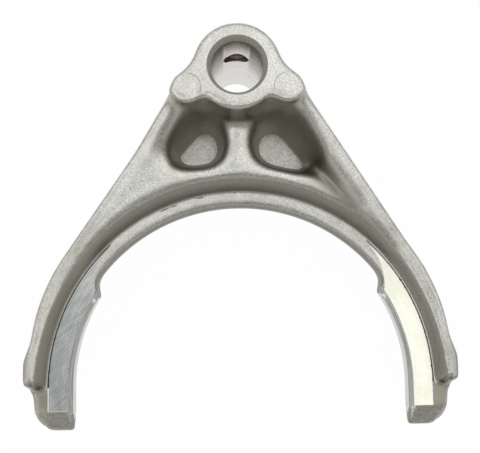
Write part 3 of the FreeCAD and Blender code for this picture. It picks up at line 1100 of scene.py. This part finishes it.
def table_finish():
    """White for the camera with a trace of the shadow; a matt pale surface for the part's light."""
    material = bpy.data.materials.new("table white")
    material.use_nodes = True
    tree = material.node_tree
    tree.nodes.clear()
    matt = node(tree, "ShaderNodeBsdfDiffuse", {"Color": (0.86, 0.86, 0.85, 1.0)})
    glow = node(tree, "ShaderNodeEmission", {"Color": (1.0, 1.0, 1.0, 1.0)})
    ray = tree.nodes.new("ShaderNodeLightPath")
    seen = larger(tree, ray.outputs["Is Camera Ray"], ray.outputs["Is Glossy Ray"])
    seen_as(tree, "ShaderNodeOutputMaterial", matt, glow, times(tree, seen, 0.98))
    return material


floor = table()
floor.data.materials.append(table_finish())
print("table:", len(floor.data.polygons), "faces")

# %% Sky
HORIZON, HALF_WAY_UP = (0.14, 0.138, 0.125), (1.02, 1.02, 1.00)
OVERHEAD_FRONT, OVERHEAD_BACK = (0.46, 0.46, 0.45), (1.18, 1.18, 1.18)
PHOTOGRAPHER = (0.26, 0.257, 0.235)
# Each patch has its direction, the angles where it is full and where it ends, and its colour.
PATCHES = [((0.0, -0.42, 0.90), 5, 12, (1.9, 1.9, 1.87)),       # overhead, towards the front
           ((-0.62, -0.45, 0.64), 8, 22, (1.6, 1.6, 1.57)),     # low on the left
           ((-0.24, -0.20, 0.95), 8, 20, (0.28, 0.30, 0.305)),  # the cool shade
           ((0.24, -0.07, 0.97), 8, 14, (1.34, 1.33, 1.13))]    # the warm lamp


def patch(tree, direction, towards, inner_degrees, outer_degrees):
    """1 within an angle of a direction, 0 outside a wider one: a smooth step of the dot product."""
    aim = np.array(towards, float)
    dot = vector_maths(tree, "DOT_PRODUCT", direction, tuple(aim / np.linalg.norm(aim)))
    return ramp(tree, dot, math.cos(math.radians(outer_degrees)), math.cos(math.radians(inner_degrees)))


def sky():
    """The room round the part, by direction, and plain white for the camera.

    Dim at the horizon, bright half way up, and calmer overhead where the camera hangs. The patches
    come last, each over the one before.
    """
    world = bpy.data.worlds.new("studio")
    bpy.context.scene.world = world
    world.use_nodes = True
    tree = world.node_tree
    tree.nodes.clear()
    direction = tree.nodes.new("ShaderNodeTexCoord").outputs["Generated"]
    _, back, up = xyz(tree, direction)
    sides = mix_colour(tree, ramp(tree, up, 0.10, 0.62), HORIZON, HALF_WAY_UP)
    above = mix_colour(tree, ramp(tree, back, 0.0, 0.20), OVERHEAD_FRONT, OVERHEAD_BACK)
    dome = mix_colour(tree, ramp(tree, up, 0.78, 0.97), sides, above)
    dome = mix_colour(tree, ramp(tree, times(tree, back, -1.0), 0.46, 0.78), dome, PHOTOGRAPHER)
    for towards, inner_degrees, outer_degrees, colour in PATCHES:
        dome = mix_colour(tree, patch(tree, direction, towards, inner_degrees, outer_degrees), dome, colour)
    room = node(tree, "ShaderNodeBackground")
    link(tree, dome, room.inputs["Color"])
    white = node(tree, "ShaderNodeBackground", {"Color": (1.0, 1.0, 1.0, 1.0)})
    ray = tree.nodes.new("ShaderNodeLightPath")
    seen_as(tree, "ShaderNodeOutputWorld", room, white, ray.outputs["Is Camera Ray"])


sky()
print("world:", bpy.context.scene.world.name)

# %% [markdown]
# ## The camera
#
# A photograph gives its own camera away. The fork's upright lines, such as the walls of the bore, all
# run towards one point of the picture, so that point and the focal length give the direction in which
# the camera looked. The hub's face gives the distance, and a small roll levels the two arms.

# %% Place the camera
FOCAL_PX = 830.0
IMAGE_WIDTH, IMAGE_HEIGHT = 480, 453
UPRIGHTS_MEET_PX = (229.7, 302.8)
ROLL = math.radians(0.965)
HUB_PX = (237.2, 64.4)
HUB_DISTANCE = 219.0
SENSOR_WIDTH = 36.0


def photo_camera():
    """A camera whose axes come from the vanishing point of the Z axis, and its place from the hub.

    In picture axes (right, down, forward) the sight line through pixel p is (p - centre) / focal.
    The line to the vanishing point is the part's Z axis, seen from behind.
    """
    centre = np.array([IMAGE_WIDTH / 2, IMAGE_HEIGHT / 2])
    sight = np.append((np.array(UPRIGHTS_MEET_PX) - centre) / FOCAL_PX, 1.0)
    z_axis = -sight / np.linalg.norm(sight)
    x_axis = np.array([math.cos(ROLL), -math.sin(ROLL), 0.0])
    x_axis -= (x_axis @ z_axis) * z_axis
    x_axis /= np.linalg.norm(x_axis)
    y_axis = np.cross(z_axis, x_axis)
    to_hub = HUB_DISTANCE * np.append((np.array(HUB_PX) - centre) / FOCAL_PX, 1.0)
    part_axes = np.column_stack([x_axis, y_axis, z_axis])
    place = -part_axes.T @ (to_hub - HUB_TOP * z_axis)
    right, down, forward = part_axes
    camera = as_object("photo camera", bpy.data.cameras.new("photo camera"))
    camera.data.sensor_width = SENSOR_WIDTH
    camera.data.lens = FOCAL_PX * SENSOR_WIDTH / IMAGE_WIDTH
    camera.data.clip_start = 0.01
    turn = Matrix([right, -down, -forward]).transposed()
    camera.matrix_world = Matrix.Translation(Vector(place * MM)) @ turn.to_4x4()
    bpy.context.scene.camera = camera
    return place


camera_place = photo_camera()
print("camera at", [round(float(v), 1) for v in camera_place], "mm")

# %% Set the view transform
bpy.context.scene.view_settings.view_transform = "Standard"
